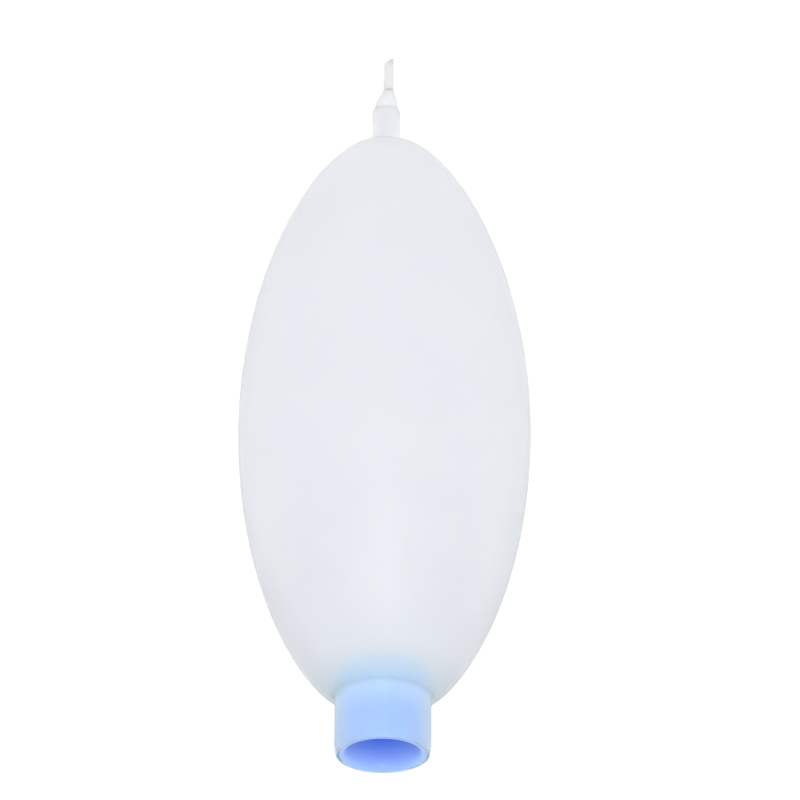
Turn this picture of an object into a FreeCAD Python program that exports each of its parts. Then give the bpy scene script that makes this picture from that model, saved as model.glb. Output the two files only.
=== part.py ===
import FreeCAD, Part
import math
import os
import Sketcher
from FreeCAD import Placement, Rotation, Vector

# Anaesthesia breathing bag, 1 litre, with a 22 mm female neck.
# Frame: origin at the centre of the mouth, +Z along the bag to its tail, front wall at -Y.

# Driving dimensions, in millimetres.
SIZES = {
    # neck: a moulded bush inside the bag's own sleeve
    "socket_radius": 11.0,
    "bush_radius": 13.3,
    "bush_length": 27.8,
    "mouth_lead": 1.3,
    "mouth_lead_height": 1.8,
    "bush_lead": 0.5,
    "bush_edge": 0.6,
    "bead_radius": 14.0,
    "bead_height": 3.2,
    "sleeve_radius": 14.7,
    "mouth_inset": 0.5,
    "mouth_taper": 2.6,
    # bag wall: two smooth curves that meet at the widest level
    "wall_thickness": 1.0,
    "shoulder_level": 19.2,
    "shoulder_pull_radius": 21.7,
    "shoulder_pull_level": 20.0,
    "bag_radius": 45.7,
    "widest_level": 111.0,
    "lower_pull": 59.0,
    "upper_pull": 56.3,
    "crown_pull_radius": 20.1,
    "crown_pull_level": 213.1,
    "crown_level": 212.5,
    # regions of the wall that flex
    "flex_radius": 23.0,
    "press_half_width": 30.0,
    "press_half_height": 60.0,
    "region_gap": 0.3,
    # tail: a tube closed by a stopper with a thin pull stem
    "tail_radius": 4.4,
    "tail_bore_radius": 2.8,
    "tail_rim_level": 226.0,
    "tail_edge": 0.5,
    "shank_radius": 2.75,
    "shank_length": 11.5,
    "head_radius": 3.8,
    "head_height": 8.0,
    "stem_radius": 1.6,
    "stem_offset": 0.7,
    "stem_root_height": 2.8,
    "stem_height": 8.6,
    "stem_slant": 38.0,
}

# The inner curves' middle points stand in from the outer ones by these shares of the wall.
INSET_ASIDE = 0.5
INSET_ALONG = 0.3

# The stopper's head, from its base: share of its height, share of its radius, share of its lean.
HEAD_SECTIONS = [(0.0, 1.0, 0.0), (0.3, 0.9, 0.2), (0.7, 0.72, 0.6)]

# Tools for cutting stand out from what they cut by these factors.
ZONE_REACH = 1.2
CUTTER_REACH = 3.0

doc = FreeCAD.newDocument("BreathingBag")
sheet = doc.addObject("Spreadsheet::Sheet", "Sizes")


def fill_sheet():
    """Write every driving dimension into the sheet, one row each."""
    for row, (name, value) in enumerate(SIZES.items(), start=1):
        sheet.set(f"A{row}", name)
        sheet.set(f"B{row}", str(value))
        sheet.setAlias(f"B{row}", name)
    doc.recompute()


class Size:
    """A length together with the sheet expression that gives it."""

    def __init__(self, value, text):
        self.value = value
        self.text = text

    def __add__(self, other):
        return Size(self.value + other.value, f"{self.text} + {other.text}")

    def __sub__(self, other):
        return Size(self.value - other.value, f"{self.text} - ({other.text})")

    def __mul__(self, factor):
        return Size(self.value * factor, f"({self.text}) * {factor}")


def size(name):
    """The named cell of the sheet."""
    return Size(SIZES[name], f"{sheet.Name}.{name}")


ZERO = Size(0.0, "0")


def new_body(name):
    """A PartDesign body whose label is the name of its node."""
    body = doc.addObject("PartDesign::Body", name)
    body.Label = name
    return body


def profile_sketch(body, name):
    """An empty sketch in the body's XZ plane: sketch X is the radius, sketch Y the level."""
    sketch = body.newObject("Sketcher::SketchObject", name)
    plane = [item for item in body.Origin.OriginFeatures if item.Role == "XZ_Plane"][0]
    sketch.AttachmentSupport = [(plane, "")]
    sketch.MapMode = "FlatFace"
    return sketch


def pin(sketch, geometry, vertex, radius, level):
    """Hold one sketch point at a radius and a level given by the sheet."""
    index = sketch.addConstraint(
        Sketcher.Constraint("DistanceX", -1, 1, geometry, vertex, radius.value))
    sketch.setExpression(f"Constraints[{index}]", radius.text)
    if level is ZERO:
        sketch.addConstraint(Sketcher.Constraint("PointOnObject", geometry, vertex, -1))
        return
    index = sketch.addConstraint(
        Sketcher.Constraint("DistanceY", -1, 1, geometry, vertex, level.value))
    sketch.setExpression(f"Constraints[{index}]", level.text)


def flat(point):
    """A sketch vector from a (radius, level) pair."""
    return Vector(point[0].value, point[1].value, 0)


def join(sketch, first, second):
    """Make the end of one edge the start of the next."""
    sketch.addConstraint(Sketcher.Constraint("Coincident", first, 2, second, 1))


def straight_outline(sketch, points):
    """A closed outline of straight edges through the given (radius, level) corners."""
    edges = []
    for start, end in zip(points, points[1:] + points[:1]):
        edges.append(sketch.addGeometry(Part.LineSegment(flat(start), flat(end))))
    for first, second in zip(edges, edges[1:] + edges[:1]):
        join(sketch, first, second)
    for edge, corner in zip(edges, points):
        pin(sketch, edge, 1, *corner)


def smooth_edge(sketch, points):
    """A cubic curve pulled by its two middle points; its end is held by the edge it joins."""
    curve = Part.BSplineCurve()
    curve.buildFromPolesMultsKnots([flat(point) for point in points], [4, 4], [0, 1], False, 3)
    edge = sketch.addGeometry(curve)
    sketch.exposeInternalGeometry(edge)
    for step, point in enumerate(points[:-1], start=1):
        pin(sketch, edge + step, 3, *point)
    return edge


def revolve(body, sketch):
    """Turn a sketch once around the bag's axis."""
    turned = body.newObject("PartDesign::Revolution", sketch.Name + "_turned")
    turned.Profile = sketch
    turned.ReferenceAxis = (sketch, ["V_Axis"])
    turned.Angle = 360
    sketch.Visibility = False
    return turned


def neck_bush():
    """The rigid blue bush: the 22 mm socket, a wide lead-in at its mouth and a retaining bead."""
    body = new_body("neck_bush")
    sketch = profile_sketch(body, "bush_profile")
    bore = size("socket_radius")
    outer = size("bush_radius")
    bead = size("bead_radius")
    mouth = bore + size("mouth_lead")
    top = size("bush_length")
    lead = size("bush_lead")
    edge = size("bush_edge")
    bead_start = top - size("bead_height")
    straight_outline(sketch, [
        (mouth, ZERO),
        (outer, ZERO),
        (outer, bead_start),
        (bead, bead_start + edge),
        (bead, top - edge),
        (bead - edge, top),
        (bore + lead, top),
        (bore, top - lead),
        (bore, size("mouth_lead_height")),
    ])
    revolve(body, sketch)
    return body


def neck_sleeve():
    """The bag's own sleeve, shrunk over the bush from its tapered mouth to the shoulder."""
    body = new_body("neck_sleeve")
    sketch = profile_sketch(body, "sleeve_profile")
    inner = size("bush_radius")
    outer = size("sleeve_radius")
    top = size("shoulder_level") + size("wall_thickness")
    straight_outline(sketch, [
        (inner, ZERO),
        (outer - size("mouth_inset"), ZERO),
        (outer, size("mouth_taper")),
        (outer, top),
        (inner, top),
    ])
    revolve(body, sketch)
    return body


def bag_skin():
    """The whole thin wall of the bag, from the sleeve to the tail tube, in one piece."""
    body = new_body("bag_skin")
    sketch = profile_sketch(body, "skin_profile")
    wall = size("wall_thickness")
    neck = size("sleeve_radius")
    tail = size("tail_radius")
    girth = size("bag_radius")
    widest = size("widest_level")
    low = widest - size("lower_pull")
    high = widest + size("upper_pull")
    shoulder = size("shoulder_level")
    shoulder_pull = (size("shoulder_pull_radius"), size("shoulder_pull_level"))
    crown = size("crown_level")
    crown_pull = (size("crown_pull_radius"), size("crown_pull_level"))
    aside = wall * INSET_ASIDE
    along = wall * INSET_ALONG
    outer_low = smooth_edge(sketch, [
        (neck, shoulder), shoulder_pull, (girth, low), (girth, widest)])
    outer_high = smooth_edge(sketch, [
        (girth, widest), (girth, high), crown_pull, (tail, crown)])
    inner_high = smooth_edge(sketch, [
        (tail, crown - wall),
        (crown_pull[0] - aside, crown_pull[1] - wall),
        (girth - wall, high - along),
        (girth - wall, widest)])
    inner_low = smooth_edge(sketch, [
        (girth - wall, widest),
        (girth - wall, low + along),
        (shoulder_pull[0] - aside, shoulder_pull[1] + wall),
        (neck, shoulder + wall)])
    tail_end = sketch.addGeometry(
        Part.LineSegment(flat((tail, crown)), flat((tail, crown - wall))))
    neck_end = sketch.addGeometry(
        Part.LineSegment(flat((neck, shoulder + wall)), flat((neck, shoulder))))
    ring = [outer_low, outer_high, tail_end, inner_high, inner_low, neck_end]
    for first, second in zip(ring, ring[1:] + ring[:1]):
        join(sketch, first, second)
    pin(sketch, tail_end, 1, tail, crown)
    pin(sketch, neck_end, 1, neck, shoulder + wall)
    revolve(body, sketch)
    return body


def zone_cylinder(name, radius):
    """A cylinder around the neck, up to the bag's widest level."""
    zone = doc.addObject("Part::Cylinder", name)
    zone.setExpression("Radius", radius.text)
    zone.setExpression("Height", size("widest_level").text)
    return zone


def oval_prism(name, growth, side):
    """An upright oval at the bag's widest level, extruded to the front (-1) or rear (+1)."""
    oval = doc.addObject("Part::Ellipse", name + "_outline")
    oval.Placement = Placement(Vector(0, 0, 0), Rotation(Vector(1, 1, 1), 240))
    oval.setExpression("Placement.Base.z", size("widest_level").text)
    oval.setExpression("MajorRadius", (size("press_half_height") + growth).text)
    oval.setExpression("MinorRadius", (size("press_half_width") + growth).text)
    prism = doc.addObject("Part::Extrusion", name)
    prism.Base = oval
    prism.DirMode = "Custom"
    prism.Dir = Vector(0, side, 0)
    prism.setExpression("LengthFwd", (size("bag_radius") * ZONE_REACH).text)
    prism.Solid = True
    return prism


def boolean(kind, name, base, tool):
    """A Cut or Common of two objects, labelled with its node's name."""
    result = doc.addObject(f"Part::{kind}", name)
    result.Base = base
    result.Tool = tool
    result.Label = name
    return result


def bag_regions(skin):
    """Divide the skin into the shoulder that flexes, two walls that press in and the rest."""
    gap = size("region_gap")
    flex = size("flex_radius")
    shoulder = boolean("Common", "neck_shoulder", skin, zone_cylinder("flex_zone", flex))
    front = boolean("Common", "press_wall_front", skin, oval_prism("front_zone", ZERO, -1))
    rear = boolean("Common", "press_wall_rear", skin, oval_prism("rear_zone", ZERO, 1))
    openings = doc.addObject("Part::MultiFuse", "wall_openings")
    openings.Shapes = [
        zone_cylinder("flex_opening", flex + gap),
        oval_prism("front_opening", gap, -1),
        oval_prism("rear_opening", gap, 1),
    ]
    wall = boolean("Cut", "bag_wall", skin, openings)
    return [shoulder, front, rear, wall]


def tail_tube():
    """The short tube moulded on the crown of the bag, open at both ends."""
    body = new_body("tail_tube")
    sketch = profile_sketch(body, "tail_profile")
    bore = size("tail_bore_radius")
    outer = size("tail_radius")
    bottom = size("crown_level") - size("wall_thickness")
    top = size("tail_rim_level")
    edge = size("tail_edge")
    straight_outline(sketch, [
        (bore, bottom),
        (outer, bottom),
        (outer, top - edge),
        (outer - edge, top),
        (bore, top),
    ])
    revolve(body, sketch)
    return body


def upright_cylinder(name, radius, bottom, height, offset):
    """A cylinder on the bag's axis, or beside it by the offset in X."""
    cylinder = doc.addObject("Part::Cylinder", name)
    cylinder.setExpression("Radius", radius.text)
    cylinder.setExpression("Height", height.text)
    cylinder.setExpression("Placement.Base.z", bottom.text)
    cylinder.setExpression("Placement.Base.x", offset.text)
    return cylinder


def section_circle(name, radius, level, offset):
    """One horizontal section of the stopper's head."""
    circle = doc.addObject("Part::Circle", name)
    circle.setExpression("Radius", radius.text)
    circle.setExpression("Placement.Base.z", level.text)
    circle.setExpression("Placement.Base.x", offset.text)
    return circle


def tail_plug():
    """The stopper: a shank in the tail tube and a pointed head that leans a little to +X."""
    rim = size("tail_rim_level")
    height = size("head_height")
    lean = size("stem_offset")
    length = size("shank_length")
    shank = upright_cylinder("plug_shank", size("shank_radius"), rim - length, length, ZERO)
    circles = []
    for step, (rise, girth, shift) in enumerate(HEAD_SECTIONS, start=1):
        circles.append(section_circle(
            f"head_section_{step}", size("head_radius") * girth, rim + height * rise, lean * shift))
    circles.append(section_circle("head_tip", size("stem_radius"), rim + height, lean))
    head = doc.addObject("Part::Loft", "plug_head")
    head.Sections = circles
    head.Solid = True
    plug = doc.addObject("Part::Fuse", "tail_plug")
    plug.Base = shank
    plug.Tool = head
    plug.Label = "tail_plug"
    return plug


def tail_stem():
    """The thin pull stem: a short root that bends and a straight end with a slanted cut."""
    radius = size("stem_radius")
    shift = size("stem_offset")
    start = size("tail_rim_level") + size("head_height")
    root = upright_cylinder("stem_root", radius, start, size("stem_root_height"), shift)
    root.Label = "stem_root"
    bottom = start + size("stem_root_height") + size("region_gap")
    height = size("stem_height")
    blank = upright_cylinder("stem_blank", radius, bottom, height + radius, shift)
    # the tilted block's lower face passes through the stem's highest point, on its +X side
    reach = radius * CUTTER_REACH
    rise = (reach + radius) * math.tan(math.radians(SIZES["stem_slant"]))
    block = doc.addObject("Part::Box", "stem_cutter")
    for side in ("Length", "Width", "Height"):
        block.setExpression(side, (reach * 2.0).text)
    block.setExpression("Placement.Base.x", (shift - reach).text)
    block.setExpression("Placement.Base.y", (reach * -1.0).text)
    block.setExpression("Placement.Base.z", (bottom + height - rise).text)
    block.Placement.Rotation = Rotation(Vector(0, 1, 0), -SIZES["stem_slant"])
    stem = boolean("Cut", "tail_stem", blank, block)
    return [root, stem]


def check(nodes):
    """Stop if any object failed or any node's shape is empty or not valid."""
    for item in doc.Objects:
        if "Invalid" in item.State or "Error" in item.State:
            raise RuntimeError(f"{item.Name} failed: {item.State}")
    for node in nodes:
        shape = node.Shape
        if shape.isNull() or not shape.isValid() or shape.Volume <= 0:
            raise RuntimeError(f"{node.Label} has no valid solid")


def main():
    fill_sheet()
    skin = bag_skin()
    nodes = [neck_bush(), neck_sleeve()]
    nodes += bag_regions(skin)
    nodes += [tail_tube(), tail_plug()]
    nodes += tail_stem()
    doc.recompute()
    check(nodes)
    os.makedirs("parts", exist_ok=True)
    for node in nodes:
        node.Shape.exportStep(f"parts/{node.Label}.step")
        box = node.Shape.BoundBox
        print(f"{node.Label:18} {node.Shape.Volume:9.1f} mm3  {len(node.Shape.Solids)} solid"
              f"  Z {box.ZMin:.2f} to {box.ZMax:.2f}  X {box.XMin:.2f} to {box.XMax:.2f}")


main()
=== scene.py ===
import math

import bpy
import numpy as np
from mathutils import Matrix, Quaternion, Vector


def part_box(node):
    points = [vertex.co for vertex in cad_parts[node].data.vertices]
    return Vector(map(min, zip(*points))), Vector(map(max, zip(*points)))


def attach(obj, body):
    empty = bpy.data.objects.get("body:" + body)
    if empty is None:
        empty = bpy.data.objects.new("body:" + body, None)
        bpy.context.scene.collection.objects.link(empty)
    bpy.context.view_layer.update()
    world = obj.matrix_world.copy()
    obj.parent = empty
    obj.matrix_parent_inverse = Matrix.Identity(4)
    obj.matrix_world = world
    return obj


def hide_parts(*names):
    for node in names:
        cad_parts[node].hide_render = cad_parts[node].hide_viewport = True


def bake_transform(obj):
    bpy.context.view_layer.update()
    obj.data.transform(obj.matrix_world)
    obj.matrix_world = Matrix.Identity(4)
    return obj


# A breathing bag: a frosted silicone bag with a blue 22 mm bush at its neck and a stoppered tail.
# Lengths are in metres, and MM turns millimetres into them.

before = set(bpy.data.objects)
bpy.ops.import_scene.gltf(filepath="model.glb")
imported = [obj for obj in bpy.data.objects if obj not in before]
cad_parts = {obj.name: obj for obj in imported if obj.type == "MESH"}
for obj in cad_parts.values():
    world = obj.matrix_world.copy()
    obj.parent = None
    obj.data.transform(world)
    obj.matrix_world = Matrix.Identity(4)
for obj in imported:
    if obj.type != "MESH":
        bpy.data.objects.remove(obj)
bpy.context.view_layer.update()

MM = 0.001

# ---------------------------------------------------------------- places read from the CAD nodes

SLEEVE_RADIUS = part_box("neck_sleeve")[1].x
BUSH_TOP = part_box("neck_bush")[1].z
BEAD_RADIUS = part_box("neck_bush")[1].x
SHOULDER_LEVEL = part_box("neck_shoulder")[0].z
FLEX_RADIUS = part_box("neck_shoulder")[1].x
BAG_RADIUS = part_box("bag_wall")[1].x
WIDEST_LEVEL = (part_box("press_wall_front")[0].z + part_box("press_wall_front")[1].z) / 2
CROWN_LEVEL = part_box("bag_wall")[1].z
TAIL_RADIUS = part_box("tail_tube")[1].x
TAIL_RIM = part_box("tail_tube")[1].z
SHANK_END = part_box("tail_plug")[0].z
HEAD_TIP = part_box("tail_plug")[1].z
STEM_LOW, STEM_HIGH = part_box("tail_stem")
STEM_TOP = STEM_HIGH.z
STEM_RADIUS = (STEM_HIGH.x - STEM_LOW.x) / 2
STEM_X = (STEM_HIGH.x + STEM_LOW.x) / 2

# ---------------------------------------------------------------- sizes that the boxes don't give

SOCKET_RADIUS = 11.0 * MM
BUSH_RADIUS = 13.3 * MM
BEAD_HEIGHT = 3.2 * MM
MOUTH_RADIUS = 12.7 * MM
MOUTH_LEAD = 3.0 * MM
MOUTH_INSET = 0.5 * MM
MOUTH_TAPER = 2.6 * MM
WALL = 1.0 * MM
TAIL_BORE = 2.8 * MM
SHANK_RADIUS = 2.75 * MM
HEAD_RADIUS = 3.8 * MM
FIT_GAP = 0.05 * MM     # air between the sleeve and the bush it is shrunk on
STEM_SLANT = 38.0       # degrees

# how far the bag's outline is pulled along it from its widest place, and where at its ends
LOWER_PULL = 59.0 * MM
UPPER_PULL = 56.3 * MM
SHOULDER_PULL = (21.7 * MM, SHOULDER_LEVEL + 0.8 * MM)
CROWN_PULL = (20.1 * MM, CROWN_LEVEL + 0.6 * MM)
INSET_ASIDE = 0.5       # the share of a wall's thickness that moves the pulls for the inner skin
INSET_ALONG = 0.3

# the bush's funnel: where it starts, how it is pulled there and at its lip, and the lip itself
FUNNEL_TOP = MOUTH_LEAD * 1.3
FUNNEL_PULL = MOUTH_LEAD * 0.5
LIP_PULL = SOCKET_RADIUS + 0.5 * MM
LIP_RADIUS = MOUTH_RADIUS + 0.1 * MM

# the stopper's head: shares of its width, or the stem's, and of its height
HEAD_PULL = (0.97, 0.45)
TIP_PULL = (1.35, 0.85)
LEAN_POWER = 1.5        # above 1, the head leans more towards its tip

# rounded edges and soft corners
MOUTH_EDGE = 0.3 * MM
MOUTH_LIP = MOUTH_TAPER * 0.2
MOUTH_SIDE = SLEEVE_RADIUS - MOUTH_INSET * 0.8
RIM_EDGE = 0.4 * MM
SLEEVE_END = SHOULDER_LEVEL - 3.5 * MM
TAPER_REACH = 1.2 * MM
SHOULDER_REACH = 0.8 * MM
TAIL_REACH = 3.0 * MM
INNER_SHOULDER_REACH = 1.6 * MM
INNER_TAIL_REACH = 0.9 * MM
SEAM_SLANT = 0.4 * MM   # the neck's seam is this much narrower inside
BEAD_EDGE = 0.7 * MM
BEAD_TOP_EDGE = 0.8 * MM
SHANK_EDGE = 0.6 * MM
HEAD_EDGE = 0.25 * MM
CUT_EDGE = 0.25 * MM

SAME_POINT = 1e-7       # points nearer than this are one
AROUND = 192            # facets round the whole bag
BUSH_AROUND = 128
PLUG_AROUND = 48
STEM_AROUND = 40
RUN_STEPS = 90          # facets along each half of the bag's outline
STEM_STEPS = 40
CUT_STEPS = 6

# ---------------------------------------------------------------- colours and finishes

SILICONE_IOR = 1.41
CLOUD_SHADE = (0.984, 0.986, 0.990)
BAG_COLOUR = (0.892, 0.905, 0.927)
BAG_CLEAR = 0.55                    # share of the light that the silicone lets through
BAG_ROUGH = 0.46
SHOULDER_ROUGH = 0.36               # the shoulder is less frosted, so the bush shows through it
SLEEVE_GLOW_COLOUR = (0.84, 0.955, 1.0)  # painted glow: the blue of the bush it is shrunk on, seen through it, painted into the sleeve
SLEEVE_CLEAR = 0.87
GLOW_COLOUR = (0.93, 0.975, 1.0)    # and a fainter painted glow of the bush on the shoulder
GLOW_CLEAR = 0.80
# where the painted glow of the bush fades out, still lighter and bluer than the body
GLOW_END_COLOUR = (0.955, 0.966, 0.985)
END_CLEAR = 0.68
CROWN_COLOUR = (0.925, 0.930, 0.948)
TAIL_COLOUR = (0.920, 0.922, 0.945)
GLOW_LEVEL = SHOULDER_LEVEL + 3.0 * MM
END_LEVEL = SHOULDER_LEVEL + 8.0 * MM
BODY_START = SHOULDER_LEVEL + 27.0 * MM
BODY_END = CROWN_LEVEL - 35.0 * MM
TAIL_LEVEL = CROWN_LEVEL + 2.0 * MM
PLUG_COLOUR = (0.885, 0.890, 0.900)
PLUG_CLEAR = 0.50
STEM_COLOUR = (0.82, 0.825, 0.83)
STEM_CLEAR = 0.45
PLUG_ROUGH = 0.42
BUSH_COLOUR = (0.38, 0.53, 0.98)
# painted light: the bush is painted lighter at its collar
COLLAR_LIT_COLOUR = (0.66, 0.74, 1.0)
BUSH_FLOW = (0.93, 0.95, 0.98)      # the darker streaks where the plastic flowed
MOUTH_COLOUR = (0.32, 0.55, 1.0)
# painted shade, darkest deep in the bore
BORE_SHADE_COLOUR = (0.145, 0.345, 0.96)
# painted light: lighter still at the bead
BEAD_LIT_COLOUR = (0.61, 0.78, 1.0)
# painted light on the bore's sides
BORE_SIDE_LIGHT_COLOUR = (0.42, 0.60, 1.0)
# how deep the bore's painted shade reaches its darkest
BORE_SHADE_DEPTH = 11.5 * MM
BARREL_END = SHOULDER_LEVEL - 9.0 * MM
COLLAR_LEVEL = SHOULDER_LEVEL - 1.0 * MM
BEAD_LEVEL = SHOULDER_LEVEL + 1.0 * MM
BUSH_IOR = 1.49
BUSH_ROUGH = (0.33, 0.43)           # from the grain's low places to its high ones
HAZE = (-0.04, 0.05)                # what the haze adds to the silicone's roughness
CLOUD_SCALE = 60.0                  # patterns: features per metre
HAZE_SCALE = 900.0
SKIN_SCALE = 1500.0
FLOW_SCALE = 90.0
FLOW_STRETCH = (1, 1, 3)
GRAIN_SCALE = 1800.0
NARROW = (0.35, 0.65)               # the middle of a pattern's values, where most of them lie
WIDE = (0.3, 0.7)
SKIN_RELIEF = 0.04 * MM
SKIN_STRENGTH = 0.35
GRAIN_RELIEF = 0.03 * MM
GRAIN_STRENGTH = 0.4

# ---------------------------------------------------------------- light and camera

ROOM_STRENGTH = 1.08
SIDE_POWER = 0.04                   # watts
SIDE_PLACE = (0.45, 0.15, 0.20)
SIDE_SIZE = (0.3, 0.3)
SIDE_SPREAD = 28.0                  # degrees
FRONT_POWER = 8.5
FRONT_PLACE = (0, -1.8, -0.4)
FRONT_SIZE = (0.5, 0.5)
FLOOR_LEVEL = -1.8
FLOOR_HALF = 12.0
FLOOR_GREY = 0.8
FLOOR_ROUGH = 0.8

CAMERA_DISTANCE = 1.5
CAMERA_STEEPNESS = -27.2            # degrees above the horizon, so the camera looks up
CAMERA_ROLL = 0.22                  # degrees
CAMERA_ASIDE = 4.8 * MM
CAMERA_BASE = 110.8 * MM            # the level that the distance is measured from
CAMERA_AIM = 120.9 * MM
CAMERA_LENS = 216.0                 # millimetres, on a sensor 36 mm wide
SENSOR_WIDTH = 36.0


# ---------------------------------------------------------------- outlines: (radius, level) points

def cubic(points, steps):
    """Points along a cubic curve from its first point to its last, pulled by the two between."""
    a, b, c, d = [np.array(point, float) for point in points]
    share = np.linspace(0, 1, steps + 1)[:, None]
    rest = 1 - share
    return a * rest ** 3 + 3 * b * rest ** 2 * share + 3 * c * rest * share ** 2 + d * share ** 3


def straight(start, end, steps):
    """Points along a straight line."""
    share = np.linspace(0, 1, steps + 1)[:, None]
    return np.array(start, float) * (1 - share) + np.array(end, float) * share


def corner(centre, radius, start_deg, end_deg, steps=6):
    """Points along an arc of a rounded edge."""
    angles = np.radians(np.linspace(start_deg, end_deg, steps + 1))
    return np.stack([centre[0] + radius * np.cos(angles), centre[1] + radius * np.sin(angles)], 1)


def chain(*runs):
    """Several runs of points as one outline, without the points that two runs share."""
    kept = [np.asarray(runs[0], float)]
    for run in runs[1:]:
        run = np.asarray(run, float)
        if np.linalg.norm(run[0] - kept[-1][-1]) < SAME_POINT:
            run = run[1:]
        kept.append(run)
    return np.vstack(kept)


def skin(inset):
    """The bag's skin from the sleeve to the crown, moved inwards by inset."""
    aside, along = inset * INSET_ASIDE, inset * INSET_ALONG
    girth = BAG_RADIUS - inset
    low = cubic([
        (SLEEVE_RADIUS, SHOULDER_LEVEL + inset),
        (SHOULDER_PULL[0] - aside, SHOULDER_PULL[1] + inset),
        (girth, WIDEST_LEVEL - LOWER_PULL + along),
        (girth, WIDEST_LEVEL)], RUN_STEPS)
    high = cubic([
        (girth, WIDEST_LEVEL),
        (girth, WIDEST_LEVEL + UPPER_PULL - along),
        (CROWN_PULL[0] - aside, CROWN_PULL[1] - inset),
        (TAIL_RADIUS, CROWN_LEVEL - inset)], RUN_STEPS)
    return chain(low, high)


def cut_at_radius(points, radius):
    """The run split where it first reaches a radius: the part before and the part after."""
    index = int(np.argmax(points[:, 0] >= radius))
    before, after = points[index - 1], points[index]
    share = (radius - before[0]) / (after[0] - before[0])
    meeting = before + (after - before) * share
    return np.vstack([points[:index], meeting]), np.vstack([meeting, points[index:]])


def smooth_at(points, corner_point, reach, steps=8):
    """Replace the outline's corner at a point by a smooth curve reaching that far each way."""
    along = np.concatenate([[0], np.cumsum(np.linalg.norm(np.diff(points, axis=0), axis=1))])
    joint = int(np.argmin(np.linalg.norm(points - np.array(corner_point), axis=1)))
    middle = along[joint]

    def at(distance):
        return np.array([np.interp(distance, along, points[:, k]) for k in (0, 1)])

    start, end = at(middle - reach), at(middle + reach)
    share = np.linspace(0, 1, steps + 1)[:, None]
    curve = start * (1 - share) ** 2 + 2 * points[joint] * share * (1 - share) + end * share ** 2
    before = points[along < middle - reach]
    after = points[along > middle + reach]
    return np.vstack([before, curve, after])


# ---------------------------------------------------------------- meshes

def make_object(name, vertices, faces):
    """A smooth-shaded mesh object in the part's own frame."""
    mesh = bpy.data.meshes.new(name)
    mesh.from_pydata([tuple(v) for v in vertices], [], faces)
    mesh.validate()
    mesh.polygons.foreach_set("use_smooth", [True] * len(mesh.polygons))
    mesh.update()
    thing = bpy.data.objects.new(name, mesh)
    bpy.context.scene.collection.objects.link(thing)
    return thing


def lathe(name, outline, steps, start_deg=0.0, sweep_deg=360.0):
    """Turn an outline about the bag's axis. Less than a full turn is left open at both ends."""
    closed = np.linalg.norm(outline[0] - outline[-1]) < SAME_POINT
    if closed:
        outline = outline[:-1]
    whole_turn = sweep_deg == 360.0
    columns = steps if whole_turn else steps + 1
    angles = np.radians(start_deg + sweep_deg * np.arange(columns) / steps)
    rows = len(outline)
    radius = outline[:, 0][:, None]
    level = np.repeat(outline[:, 1][:, None], columns, 1)
    points = np.stack([radius * np.cos(angles), radius * np.sin(angles), level], -1)
    faces = []
    for row in range(rows if closed else rows - 1):
        upper = (row + 1) % rows
        for column in range(steps):
            right = (column + 1) % columns
            faces.append((row * columns + column, row * columns + right,
                          upper * columns + right, upper * columns + column))
    return make_object(name, points.reshape(-1, 3), faces)


# ---------------------------------------------------------------- the bag

def outer_outline():
    """The bag's outer outline, from the mouth's taper to the tail's rim."""
    body = skin(0.0)
    sleeve = chain(
        straight((MOUTH_SIDE, MOUTH_LIP), (SLEEVE_RADIUS, MOUTH_TAPER), steps=8),
        straight((SLEEVE_RADIUS, MOUTH_TAPER), body[0], steps=40))
    tail = straight((TAIL_RADIUS, CROWN_LEVEL), (TAIL_RADIUS, TAIL_RIM - RIM_EDGE), steps=16)
    whole = chain(sleeve, body, tail)
    whole = smooth_at(whole, (SLEEVE_RADIUS, MOUTH_TAPER), TAPER_REACH)
    whole = smooth_at(whole, body[0], SHOULDER_REACH)
    return smooth_at(whole, tail[0], TAIL_REACH)


def inner_outline():
    """The bag's inner outline, from the mouth to the tail's bore."""
    side = BUSH_RADIUS + FIT_GAP
    body = skin(WALL)
    sleeve = straight((side, MOUTH_EDGE), (side, SLEEVE_END), steps=30)
    tail = straight((TAIL_BORE, CROWN_LEVEL - WALL), (TAIL_BORE, TAIL_RIM - RIM_EDGE), steps=16)
    whole = chain(sleeve, body, tail)
    whole = smooth_at(whole, body[0], INNER_SHOULDER_REACH)
    return smooth_at(whole, tail[0], INNER_TAIL_REACH)


def bag_outlines():
    """The outlines of the neck piece and of the rest of the bag, open at their seam, as (neck,
    belly) pairs.
    """
    neck_out, belly_out = cut_at_radius(outer_outline(), FLEX_RADIUS)
    neck_in, belly_in = cut_at_radius(inner_outline(), FLEX_RADIUS - SEAM_SLANT)
    inner_side = BUSH_RADIUS + FIT_GAP
    mouth = chain(
        corner((inner_side + MOUTH_EDGE, MOUTH_EDGE), MOUTH_EDGE, 180, 270),
        corner((MOUTH_SIDE - MOUTH_LIP, MOUTH_LIP), MOUTH_LIP, 270, 360))
    neck = chain(neck_in[::-1], mouth, neck_out)
    rim = chain(
        corner((TAIL_RADIUS - RIM_EDGE, TAIL_RIM - RIM_EDGE), RIM_EDGE, 0, 90),
        corner((TAIL_BORE + RIM_EDGE, TAIL_RIM - RIM_EDGE), RIM_EDGE, 90, 180))
    belly = chain(belly_out, rim, belly_in[::-1])
    return neck, belly


neck_outline, belly_outline = bag_outlines()
bag_neck = lathe("bag_neck", neck_outline, AROUND)
bag_front = lathe("bag_front", belly_outline, AROUND // 2, 180.0, 180.0)
bag_rear = lathe("bag_rear", belly_outline, AROUND // 2, 0.0, 180.0)


# ---------------------------------------------------------------- the bush

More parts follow.
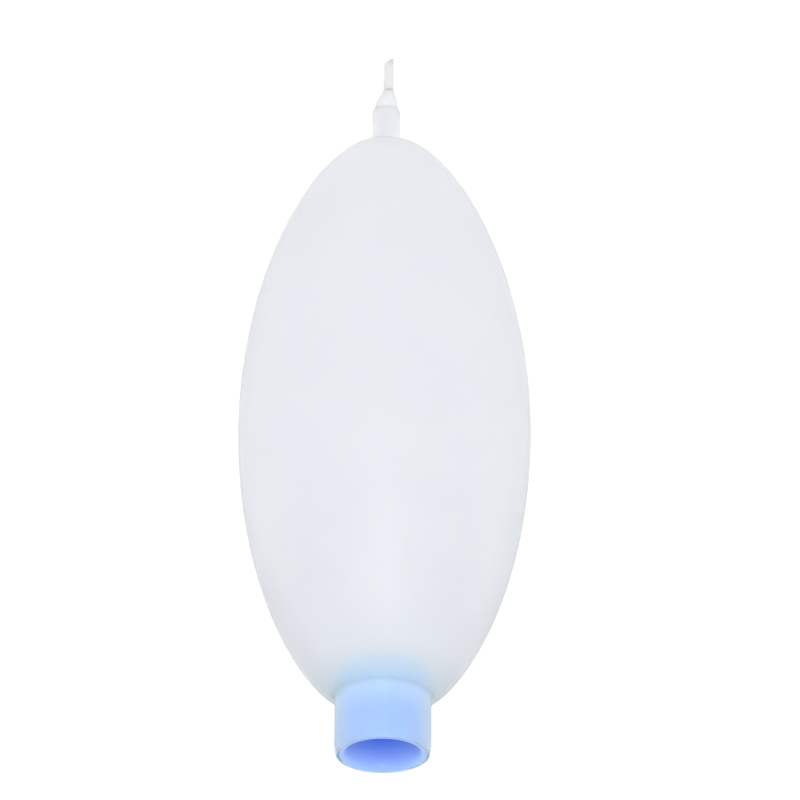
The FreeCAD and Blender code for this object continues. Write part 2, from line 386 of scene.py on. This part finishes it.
def bush_outline():
    """The bush's closed section: socket, rounded ends, barrel and retaining bead."""
    bead_start = BUSH_TOP - BEAD_HEIGHT
    lead = cubic([
        (SOCKET_RADIUS, FUNNEL_TOP),
        (SOCKET_RADIUS, FUNNEL_PULL),
        (LIP_PULL, 0),
        (LIP_RADIUS, 0)], steps=16)
    return chain(
        straight((SOCKET_RADIUS, BUSH_TOP - BEAD_EDGE), lead[0], steps=40),
        lead,
        corner((BUSH_RADIUS - MOUTH_EDGE, MOUTH_EDGE), MOUTH_EDGE, 270, 360),
        straight((BUSH_RADIUS, MOUTH_EDGE), (BUSH_RADIUS, bead_start), steps=40),
        corner((BEAD_RADIUS - BEAD_EDGE, bead_start + BEAD_EDGE), BEAD_EDGE, 270, 360),
        straight((BEAD_RADIUS, bead_start + BEAD_EDGE),
                 (BEAD_RADIUS, BUSH_TOP - BEAD_TOP_EDGE), steps=4),
        corner((BEAD_RADIUS - BEAD_TOP_EDGE, BUSH_TOP - BEAD_TOP_EDGE), BEAD_TOP_EDGE, 0, 90),
        corner((SOCKET_RADIUS + BEAD_EDGE, BUSH_TOP - BEAD_EDGE), BEAD_EDGE, 90, 180))


neck_bush = lathe("blue_bush", bush_outline(), BUSH_AROUND)


# ---------------------------------------------------------------- the stopper

def ring_stack(name, sections, steps):
    """A closed round body through circles: (radius, level, x, slope) from bottom to top."""
    angles = np.arange(steps) * 2 * math.pi / steps
    vertices = []
    for radius, level, shift, slope in sections:
        for angle in angles:
            aside = radius * math.cos(angle)
            vertices.append((shift + aside, radius * math.sin(angle), level + slope * aside))
    faces = []
    for row in range(len(sections) - 1):
        for column in range(steps):
            right = (column + 1) % steps
            faces.append((row * steps + column, row * steps + right,
                          (row + 1) * steps + right, (row + 1) * steps + column))
    bottom, top = len(vertices), len(vertices) + 1
    vertices.append((sections[0][2], 0, sections[0][1]))
    vertices.append((sections[-1][2], 0, sections[-1][1]))
    last = (len(sections) - 1) * steps
    for column in range(steps):
        right = (column + 1) % steps
        faces.append((bottom, right, column))
        faces.append((top, last + column, last + right))
    return make_object(name, vertices, faces)


def plug_sections():
    """The shank with its rounded end, the shoulder on the tube's rim and the pointed head."""
    shank = chain(
        corner((SHANK_RADIUS - SHANK_EDGE, SHANK_END + SHANK_EDGE), SHANK_EDGE, 270, 360),
        straight((SHANK_RADIUS, SHANK_END + SHANK_EDGE), (SHANK_RADIUS, TAIL_RIM), steps=12),
        corner((HEAD_RADIUS - HEAD_EDGE, TAIL_RIM + HEAD_EDGE), HEAD_EDGE, 270, 360))
    height = HEAD_TIP - TAIL_RIM
    head = cubic([
        (HEAD_RADIUS, TAIL_RIM + HEAD_EDGE),
        (HEAD_RADIUS * HEAD_PULL[0], TAIL_RIM + height * HEAD_PULL[1]),
        (STEM_RADIUS * TIP_PULL[0], TAIL_RIM + height * TIP_PULL[1]),
        (STEM_RADIUS, HEAD_TIP)], steps=24)
    sections = []
    for radius, level in chain(shank, head):
        lean = max(0.0, (level - TAIL_RIM) / height)
        sections.append((radius, level, STEM_X * lean ** LEAN_POWER, 0.0))
    return sections


tail_plug = ring_stack("tail_plug_soft", plug_sections(), PLUG_AROUND)


def stem_sections():
    """The stem from the head's tip to its slanted cut, whose edge is a little worn."""
    slope = math.tan(math.radians(STEM_SLANT))
    cut_centre = STEM_TOP - STEM_RADIUS * slope
    sections = []
    for share in np.linspace(0, 1, STEM_STEPS + 1):
        level = HEAD_TIP + share * (cut_centre - HEAD_TIP)
        sections.append((STEM_RADIUS, level, STEM_X, slope * max(0.0, 2 * share - 1)))
    for turn in np.radians(np.linspace(90 / CUT_STEPS, 90, CUT_STEPS)):
        sections.append((STEM_RADIUS - CUT_EDGE * (1 - math.cos(turn)),
                         cut_centre + CUT_EDGE * math.sin(turn) - CUT_EDGE, STEM_X, slope))
    return sections


pull_stem = ring_stack("pull_stem", stem_sections(), STEM_AROUND)

# ---------------------------------------------------------------- motion

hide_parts("neck_bush")
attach(neck_bush, "neck")
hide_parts("neck_sleeve", "neck_shoulder")
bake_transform(bag_neck)
# the press fades in from the neck's seam; its end lies outside the wall, which keeps a curve
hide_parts("press_wall_front", "bag_wall", "tail_tube")
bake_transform(bag_front)
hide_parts("press_wall_rear")
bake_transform(bag_rear)
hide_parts("tail_plug")
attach(tail_plug, "plug")
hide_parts("tail_stem", "stem_root")
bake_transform(pull_stem)


# ---------------------------------------------------------------- materials

def new_material(name):
    """An empty node material with a Principled shader: (material, nodes, links, shader)."""
    material = bpy.data.materials.new(name)
    material.use_nodes = True
    nodes, links = material.node_tree.nodes, material.node_tree.links
    nodes.clear()
    output = nodes.new("ShaderNodeOutputMaterial")
    shader = nodes.new("ShaderNodeBsdfPrincipled")
    links.new(shader.outputs["BSDF"], output.inputs["Surface"])
    return material, nodes, links, shader


def noise(nodes, links, scale, detail=3.0, roughness=0.5, stretch=(1, 1, 1)):
    """A noise pattern fixed to the object, with scale features per metre."""
    place = nodes.new("ShaderNodeTexCoord")
    mapping = nodes.new("ShaderNodeMapping")
    mapping.inputs["Scale"].default_value = stretch
    links.new(place.outputs["Object"], mapping.inputs["Vector"])
    texture = nodes.new("ShaderNodeTexNoise")
    texture.inputs["Scale"].default_value = scale
    texture.inputs["Detail"].default_value = detail
    texture.inputs["Roughness"].default_value = roughness
    links.new(mapping.outputs["Vector"], texture.inputs["Vector"])
    return texture.outputs["Fac"]


def spread(nodes, links, source, low, high, out_low, out_high):
    """A pattern's values from low to high, mapped to another range."""
    ranged = nodes.new("ShaderNodeMapRange")
    for name, value in (("From Min", low), ("From Max", high),
                        ("To Min", out_low), ("To Max", out_high)):
        ranged.inputs[name].default_value = value
    links.new(source, ranged.inputs["Value"])
    return ranged.outputs["Result"]


def number(nodes, links, operation, *sources):
    """A number worked out from others."""
    maths = nodes.new("ShaderNodeMath")
    maths.operation = operation
    for source, socket in zip(sources, maths.inputs):
        links.new(source, socket)
    return maths.outputs["Value"]


def mixed(nodes, links, share, start, end):
    """A colour that goes from start to end as the share goes from 0 to 1."""
    mix = nodes.new("ShaderNodeMix")
    mix.data_type = "RGBA"
    links.new(share, mix.inputs["Factor"])
    for name, colour in (("A", start), ("B", end)):
        if isinstance(colour, tuple):
            mix.inputs[name].default_value = (*colour, 1)
        else:
            links.new(colour, mix.inputs[name])
    return mix.outputs["Result"]


def shaded(nodes, links, colour, pattern, shade):
    """The colour, times the shade where the pattern is 1."""
    mix = nodes.new("ShaderNodeMix")
    mix.data_type = "RGBA"
    mix.blend_type = "MULTIPLY"
    links.new(pattern, mix.inputs["Factor"])
    links.new(colour, mix.inputs["A"])
    mix.inputs["B"].default_value = (*shade, 1)
    return mix.outputs["Result"]


def bumpy(nodes, links, shader, source, distance, strength):
    """Give the shader a fine relief from a pattern."""
    bump = nodes.new("ShaderNodeBump")
    bump.inputs["Distance"].default_value = distance
    bump.inputs["Strength"].default_value = strength
    links.new(source, bump.inputs["Height"])
    links.new(bump.outputs["Normal"], shader.inputs["Normal"])


def by_height(nodes, links, stops):
    """A colour that changes with the height above the mouth, through (level, colour) stops."""
    place = nodes.new("ShaderNodeTexCoord")
    split = nodes.new("ShaderNodeSeparateXYZ")
    links.new(place.outputs["Object"], split.inputs["Vector"])
    low, high = stops[0][0], stops[-1][0]
    ramp = nodes.new("ShaderNodeValToRGB")
    elements = ramp.color_ramp.elements
    elements[0].color = (*stops[0][1], 1)
    elements[1].color = (*stops[-1][1], 1)
    for level, colour in stops[1:-1]:
        elements.new((level - low) / (high - low)).color = (*colour, 1)
    links.new(spread(nodes, links, split.outputs["Z"], low, high, 0, 1), ramp.inputs["Fac"])
    return ramp.outputs["Color"]


def silicone(name, stops):
    """Frosted silicone, cloudy and a little uneven: (level, colour, clearness, roughness) stops."""
    material, nodes, links, shader = new_material(name)
    cloudy = noise(nodes, links, CLOUD_SCALE, detail=4.0, roughness=0.55)
    clouds = spread(nodes, links, cloudy, *NARROW, 0, 1)
    colour = by_height(nodes, links, [(level, colour) for level, colour, clear, rough in stops])
    clear = by_height(nodes, links, [(level, (clear,) * 3) for level, colour, clear, rough in stops])
    rough = by_height(nodes, links, [(level, (rough,) * 3) for level, colour, clear, rough in stops])
    haze = spread(nodes, links, noise(nodes, links, HAZE_SCALE, detail=2.0), *WIDE, *HAZE)
    links.new(shaded(nodes, links, colour, clouds, CLOUD_SHADE), shader.inputs["Base Color"])
    links.new(clear, shader.inputs["Transmission Weight"])
    links.new(number(nodes, links, "ADD", rough, haze), shader.inputs["Roughness"])
    shader.inputs["IOR"].default_value = SILICONE_IOR
    relief = noise(nodes, links, SKIN_SCALE, roughness=0.6)
    bumpy(nodes, links, shader, relief, SKIN_RELIEF, SKIN_STRENGTH)
    return material


def blue_plastic():
    """Satin moulded plastic of the bush, with painted shade up the front and rear of its bore."""
    material, nodes, links, shader = new_material("bush_plastic")
    place = nodes.new("ShaderNodeTexCoord")
    split = nodes.new("ShaderNodeSeparateXYZ")
    links.new(place.outputs["Object"], split.inputs["Vector"])
    x_squared = number(nodes, links, "MULTIPLY", split.outputs["X"], split.outputs["X"])
    y_squared = number(nodes, links, "MULTIPLY", split.outputs["Y"], split.outputs["Y"])
    radius = number(nodes, links, "SQRT", number(nodes, links, "ADD", x_squared, y_squared))
    # painted shade: the bore darkens from its mouth to its deepest part
    bore = by_height(nodes, links, [
        (0.0, MOUTH_COLOUR), (MOUTH_LEAD, BUSH_COLOUR), (BORE_SHADE_DEPTH, BORE_SHADE_COLOUR)])
    # painted light: the bore is lighter towards its sides along x
    aside = spread(nodes, links, x_squared, 0, SOCKET_RADIUS ** 2, 0, 1)
    inside = mixed(nodes, links, aside, bore, BORE_SIDE_LIGHT_COLOUR)
    # painted light: the bush's outside grows lighter from the barrel's end up to the bead
    outside = by_height(nodes, links, [
        (0.0, BUSH_COLOUR), (BARREL_END, BUSH_COLOUR), (COLLAR_LEVEL, COLLAR_LIT_COLOUR),
        (BEAD_LEVEL, BEAD_LIT_COLOUR), (BUSH_TOP, BEAD_LIT_COLOUR)])
    outwards = spread(nodes, links, radius, MOUTH_RADIUS, BUSH_RADIUS, 0, 1)
    colour = mixed(nodes, links, outwards, inside, outside)
    streaks = noise(nodes, links, FLOW_SCALE, stretch=FLOW_STRETCH)
    flow = spread(nodes, links, streaks, *NARROW, 0, 1)
    links.new(shaded(nodes, links, colour, flow, BUSH_FLOW), shader.inputs["Base Color"])
    grain = noise(nodes, links, GRAIN_SCALE, detail=2.0)
    links.new(spread(nodes, links, grain, *WIDE, *BUSH_ROUGH), shader.inputs["Roughness"])
    shader.inputs["IOR"].default_value = BUSH_IOR
    bumpy(nodes, links, shader, grain, GRAIN_RELIEF, GRAIN_STRENGTH)
    return material


# the lowest stops paint the bush's blue glow into the silicone
bag_material = silicone("bag_silicone_frosted", [
    (0.0, SLEEVE_GLOW_COLOUR, SLEEVE_CLEAR, BAG_ROUGH),
    (SHOULDER_LEVEL, SLEEVE_GLOW_COLOUR, SLEEVE_CLEAR, SHOULDER_ROUGH),
    (GLOW_LEVEL, GLOW_COLOUR, GLOW_CLEAR, SHOULDER_ROUGH),
    (END_LEVEL, GLOW_END_COLOUR, END_CLEAR, SHOULDER_ROUGH),
    (BODY_START, BAG_COLOUR, BAG_CLEAR, BAG_ROUGH),
    (BODY_END, BAG_COLOUR, BAG_CLEAR, BAG_ROUGH),
    (CROWN_LEVEL, CROWN_COLOUR, BAG_CLEAR, BAG_ROUGH),
    (TAIL_LEVEL, TAIL_COLOUR, BAG_CLEAR, BAG_ROUGH),
])
plug_material = silicone("plug_silicone_frosted", [
    (SHANK_END, PLUG_COLOUR, PLUG_CLEAR, PLUG_ROUGH),
    (TAIL_RIM, PLUG_COLOUR, PLUG_CLEAR, PLUG_ROUGH),
    (STEM_LOW.z, STEM_COLOUR, STEM_CLEAR, PLUG_ROUGH),
])
neck_bush.data.materials.append(blue_plastic())
for piece in (bag_neck, bag_front, bag_rear):
    piece.data.materials.append(bag_material)
for piece in (tail_plug, pull_stem):
    piece.data.materials.append(plug_material)


# ---------------------------------------------------------------- stage

def make_floor():
    """A plain pale floor far below the bag, which hangs in its mount."""
    mesh = bpy.data.meshes.new("floor")
    corners = [(-1, -1), (1, -1), (1, 1), (-1, 1)]
    mesh.from_pydata([(x * FLOOR_HALF, y * FLOOR_HALF, FLOOR_LEVEL) for x, y in corners],
                     [], [(0, 1, 2, 3)])
    floor = bpy.data.objects.new("floor", mesh)
    bpy.context.scene.collection.objects.link(floor)
    material, nodes, links, shader = new_material("pale_floor")
    shader.inputs["Base Color"].default_value = (FLOOR_GREY, FLOOR_GREY, FLOOR_GREY, 1)
    shader.inputs["Roughness"].default_value = FLOOR_ROUGH
    mesh.materials.append(material)


def soft_light(name, place, aim, width, height, power, spread_deg=180.0):
    """A rectangular lamp aimed at a point. A grid on it may narrow its beam."""
    data = bpy.data.lights.new(name, "AREA")
    data.shape = "RECTANGLE"
    data.size, data.size_y = width, height
    data.energy = power
    data.spread = math.radians(spread_deg)
    lamp = bpy.data.objects.new(name, data)
    lamp.location = place
    lamp.rotation_mode = "QUATERNION"
    lamp.rotation_quaternion = (Vector(aim) - Vector(place)).to_track_quat("-Z", "Y")
    bpy.context.scene.collection.objects.link(lamp)


def make_light():
    """A white room, a narrow soft lamp at each side and a wide one in front and below."""
    world = bpy.data.worlds.new("white_room")
    world.use_nodes = True
    background = world.node_tree.nodes["Background"]
    background.inputs["Color"].default_value = (1, 1, 1, 1)
    background.inputs["Strength"].default_value = ROOM_STRENGTH
    bpy.context.scene.world = world
    aside, back, up = SIDE_PLACE
    for name, side in (("left_softbox", -1), ("right_softbox", 1)):
        soft_light(name, (side * aside, back, up), (0, 0, up), *SIDE_SIZE, SIDE_POWER,
                   SIDE_SPREAD)
    soft_light("front_softbox", FRONT_PLACE, (0, 0, WIDEST_LEVEL), *FRONT_SIZE, FRONT_POWER)


def make_camera():
    """From in front and below, with a long lens."""
    steepness = math.radians(CAMERA_STEEPNESS)
    base = Vector((CAMERA_ASIDE, 0, CAMERA_BASE))
    data = bpy.data.cameras.new("camera")
    data.sensor_width = SENSOR_WIDTH
    data.lens = CAMERA_LENS
    data.clip_start, data.clip_end = 0.01, 50.0
    camera = bpy.data.objects.new("camera", data)
    back = Vector((0, -math.cos(steepness), math.sin(steepness)))
    camera.location = base + CAMERA_DISTANCE * back
    aim = Vector((CAMERA_ASIDE, 0, CAMERA_AIM))
    sight = (aim - camera.location).to_track_quat("-Z", "Y")
    camera.rotation_mode = "QUATERNION"
    camera.rotation_quaternion = sight @ Quaternion((0, 0, 1), math.radians(CAMERA_ROLL))
    bpy.context.scene.collection.objects.link(camera)
    bpy.context.scene.camera = camera


make_floor()
make_light()
make_camera()
scene = bpy.context.scene
scene.view_settings.view_transform = "Standard"
scene.cycles.max_bounces = 28       # light crosses the double walls of the bag many times
scene.cycles.transmission_bounces = 26
scene.cycles.diffuse_bounces = 12
scene.cycles.transparent_max_bounces = 16
scene.cycles.use_denoising = True
scene.cycles.blur_glossy = 0.0      # every bounce keeps its own roughness
